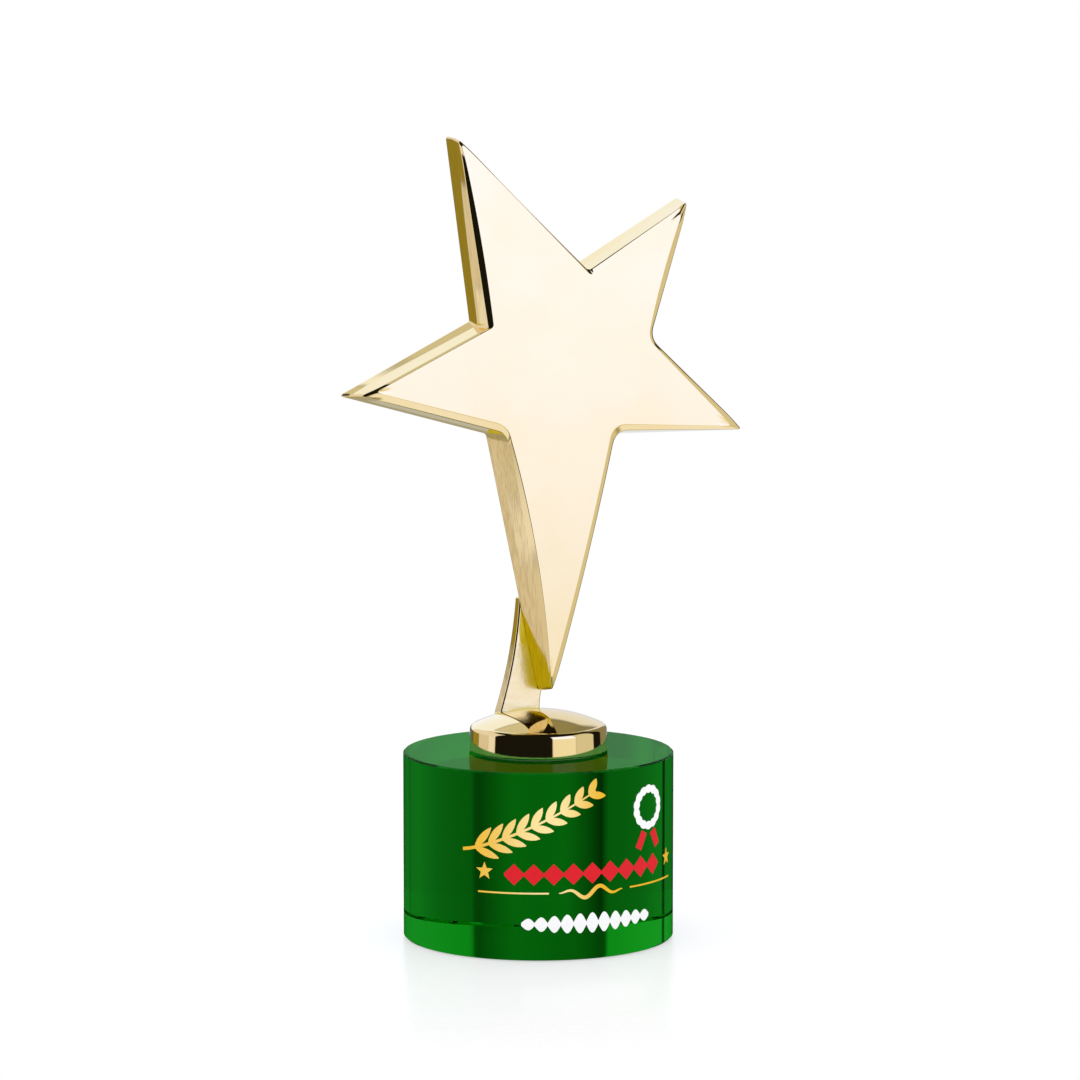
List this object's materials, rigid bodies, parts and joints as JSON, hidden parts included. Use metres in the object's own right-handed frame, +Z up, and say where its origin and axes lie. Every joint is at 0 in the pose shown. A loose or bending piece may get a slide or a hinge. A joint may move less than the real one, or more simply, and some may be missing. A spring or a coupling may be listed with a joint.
{
  "type": "star trophy",
  "caption": "Gold star award: a leaning five-pointed star on a curved fin and domed metal foot, bonded to a solid green crystal cylinder with a printed decoration.",
  "frame": {"origin": "centre of the crystal base's flat underside", "axes": "+Z up along the base's axis, the star's face and the printed side towards -Y, +X to the right as seen from the front"},
  "size_m": [0.126, 0.0803, 0.236],
  "materials": {
    "crystal": "clear green optical crystal, polished all over",
    "bond": "cured clear adhesive",
    "gold_plate": "mirror-polished gold plating",
    "braze": "gold-plated brazing metal, unpolished",
    "steel": "zinc-plated steel",
    "gold_ink": "gold screen-printing ink",
    "red_ink": "red screen-printing ink",
    "white_ink": "white screen-printing ink"
  },
  "bodies": {
    "root": {"crystal_base": "crystal", "bond_ring": "bond", "foot_dome": "gold_plate", "star": "gold_plate", "support_fin": "gold_plate", "braze_seam": "braze", "dowel_pin_lower": "steel", "dowel_pin_upper": "steel", "fin_screw_left": "steel", "fin_screw_right": "steel", "lock_washer_left": "steel", "lock_washer_right": "steel", "print_sprig": "gold_ink", "print_rosette": "white_ink", "print_rosette_tail_left": "red_ink", "print_rosette_tail_right": "red_ink", "print_star_left": "gold_ink", "print_star_right": "gold_ink", "print_frieze": "red_ink", "print_rule_left": "gold_ink", "print_rule_right": "gold_ink", "print_flourish": "gold_ink", "print_garland": "white_ink"}
  },
  "joints": []
}
